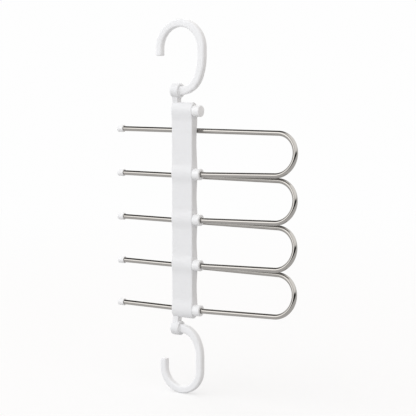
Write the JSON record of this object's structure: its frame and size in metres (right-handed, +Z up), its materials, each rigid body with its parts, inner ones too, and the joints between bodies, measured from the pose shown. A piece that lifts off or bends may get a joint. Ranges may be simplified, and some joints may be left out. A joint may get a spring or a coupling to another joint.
{
  "type": "multi tier trouser hanger",
  "caption": "Trouser hanger with a slim plastic spine, swivel hooks at both ends and swing-out U-shaped steel tubes that form stacked trouser tiers.",
  "frame": {"origin": "the rail seat: the highest point of the inner crown of the top hook, on its middle plane", "axes": "+X along the trouser rods from their capped ends towards the U bends, +Z up, -Y towards the front face of the spine"},
  "size_m": [0.2636, 0.0233, 0.4642],
  "materials": {
    "spine_white": "satin moulded polypropylene",
    "hook_white": "satin moulded polypropylene",
    "fitting_white": "semi-gloss moulded plastic",
    "stop_plastic": "moulded plastic",
    "tube_steel": "polished stainless steel tube",
    "screw_steel": "zinc plated"
  },
  "bodies": {
    "spine": {"spine_shell": "spine_white", "spine_back_cover": "spine_white", "cover_screws": "screw_steel", "top_plug": "fitting_white", "collar_2": "fitting_white", "collar_3": "fitting_white", "collar_4": "fitting_white", "collar_5": "fitting_white"},
    "top_hook": {"top_hook": "hook_white"},
    "bottom_hook": {"bottom_hook": "hook_white"},
    "arm_1": {"tube_1": "tube_steel", "leg_stop_1": "stop_plastic", "end_cap_1": "fitting_white"},
    "arm_2": {"tube_2": "tube_steel", "leg_stop_2": "stop_plastic", "end_cap_2": "fitting_white"},
    "arm_3": {"tube_3": "tube_steel", "leg_stop_3": "stop_plastic", "end_cap_3": "fitting_white"},
    "arm_4": {"tube_4": "tube_steel", "leg_stop_4": "stop_plastic", "end_cap_4": "fitting_white", "end_cap_5": "fitting_white"}
  },
  "joints": [
    {"name": "top_hook_swivel", "type": "hinge", "parent": "spine", "child": "top_hook", "pos_m": [-0.00566, 0, -0.07602], "axis": [1, 0, 0], "range_deg": [-130, 130]},
    {"name": "bottom_hook_swivel", "type": "hinge", "parent": "spine", "child": "bottom_hook", "pos_m": [-0.00566, 0, -0.37002], "axis": [-1, 0, 0], "range_deg": [-130, 130]},
    {"name": "arm_1_swing", "type": "hinge", "parent": "spine", "child": "arm_1", "pos_m": [0.02084, 0, -0.17742], "axis": [-1, 0, 0], "range_deg": [0, 80]},
    {"name": "arm_2_swing", "type": "hinge", "parent": "spine", "child": "arm_2", "pos_m": [0.02084, 0, -0.23342], "axis": [-1, 0, 0], "range_deg": [0, 80]},
    {"name": "arm_3_swing", "type": "hinge", "parent": "spine", "child": "arm_3", "pos_m": [0.02084, 0, -0.28942], "axis": [-1, 0, 0], "range_deg": [0, 80]},
    {"name": "arm_4_swing", "type": "hinge", "parent": "spine", "child": "arm_4", "pos_m": [0.02084, 0, -0.34542], "axis": [-1, 0, 0], "range_deg": [0, 80]}
  ]
}
